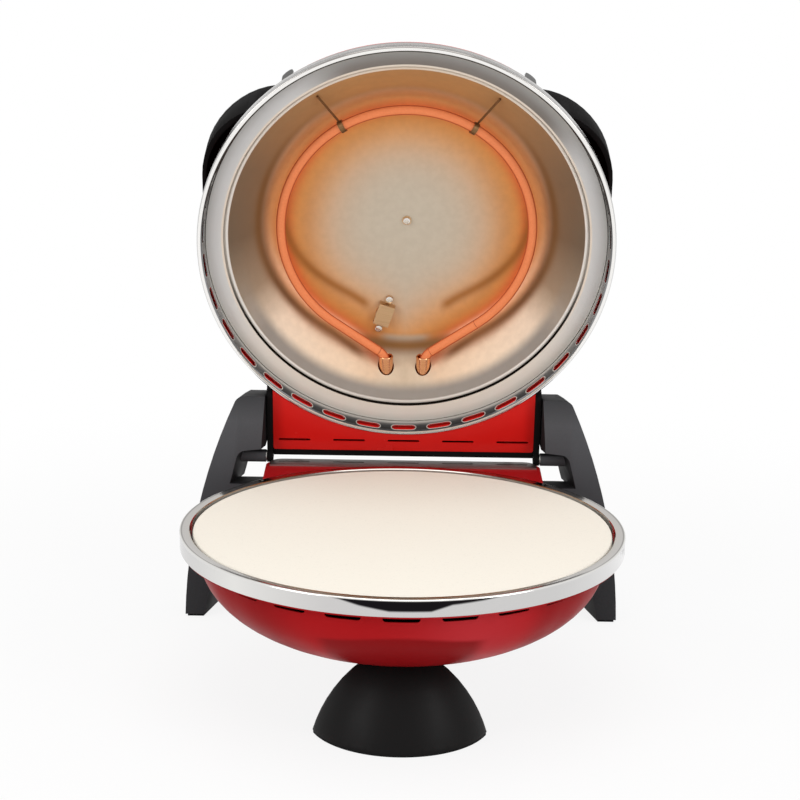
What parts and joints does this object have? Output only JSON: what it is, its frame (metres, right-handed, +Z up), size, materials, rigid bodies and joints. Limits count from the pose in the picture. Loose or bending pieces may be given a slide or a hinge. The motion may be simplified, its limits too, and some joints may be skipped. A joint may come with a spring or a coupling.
{
  "type": "countertop pizza oven",
  "caption": "Round countertop pizza oven with a red bowl, a baking stone, chrome rims and a red hinged lid with a heating loop.",
  "frame": {"origin": "on the table, under the middle of the bounding box, with the lid open", "axes": "+Z up, the front faces -Y, +X to the right of someone who faces the same way as the oven's back"},
  "size_m": [0.356, 0.4074, 0.4768],
  "materials": {
    "red_enamel": "gloss",
    "red_enamel_lid": "gloss",
    "chrome": "polished",
    "stone": "matt, fine-grained",
    "pan_steel": "satin, warmed by the heating loop",
    "flange_steel": "satin",
    "plate_steel": "satin",
    "small_steel": "bright",
    "dark_steel": "satin",
    "hot_tube": "glowing",
    "cold_tube": "dull",
    "black_plastic": "fine-grained",
    "grey_plastic": "fine-grained",
    "rubber": "matt",
    "porcelain": "matt",
    "amber": "clear"
  },
  "bodies": {
    "base": {"base_shell": "red_enamel", "base_ring": "chrome", "base_pan": "pan_steel", "base_pan_spacer": "small_steel", "base_pan_screw": "small_steel", "lower_element": "cold_tube", "lower_terminals": "small_steel", "lower_clips": "small_steel", "deck_plate": "plate_steel", "base_rear_cover": "black_plastic", "base_cover_screws": "small_steel", "cord_gland": "black_plastic", "terminal_block": "porcelain", "front_foot": "black_plastic", "foot_pad": "rubber", "foot_screws": "small_steel", "leg_left": "grey_plastic", "leg_right": "grey_plastic", "leg_pads": "rubber", "leg_screws": "small_steel", "hinge_pins": "small_steel", "hinge_washers": "small_steel"},
    "stone": {"stone": "stone"},
    "lid": {"lid_shell": "red_enamel_lid", "lid_ring": "chrome", "lid_flange": "flange_steel", "lid_pan": "pan_steel", "lid_pan_spacer": "small_steel", "lid_pan_screw": "small_steel", "upper_element": "hot_tube", "upper_terminals": "small_steel", "upper_clips": "small_steel", "sensor": "small_steel", "sensor_strap": "small_steel", "sensor_screws": "small_steel", "arm_left": "black_plastic", "arm_right": "black_plastic", "arm_screws": "dark_steel", "lid_rear_cover": "black_plastic", "lid_cover_screws": "dark_steel", "rim_lugs": "dark_steel", "handle": "black_plastic", "handle_screws": "small_steel", "pilot_lamp": "amber"},
    "thermostat_knob": {"thermostat_knob": "grey_plastic"},
    "timer_knob": {"timer_knob": "grey_plastic"}
  },
  "joints": [
    {"name": "lid_hinge", "type": "hinge", "parent": "base", "child": "lid", "pos_m": [0, 0.14612, 0.1335], "axis": [1, 0, 0], "range_deg": [0, 77.2]},
    {"name": "stone_lift", "type": "slide", "parent": "base", "child": "stone", "axis": [0, 0, 1], "range_m": [0, 0.0115]},
    {"name": "thermostat_turn", "type": "hinge", "parent": "lid", "child": "thermostat_knob", "pos_m": [0.1435, 0.18723, 0.35563], "axis": [0, 0.9751, 0.2215], "range_deg": [-270, 0]},
    {"name": "timer_turn", "type": "hinge", "parent": "lid", "child": "timer_knob", "pos_m": [-0.1435, 0.18723, 0.35563], "axis": [0, 0.9751, 0.2215], "range_deg": [-300, 0]}
  ]
}
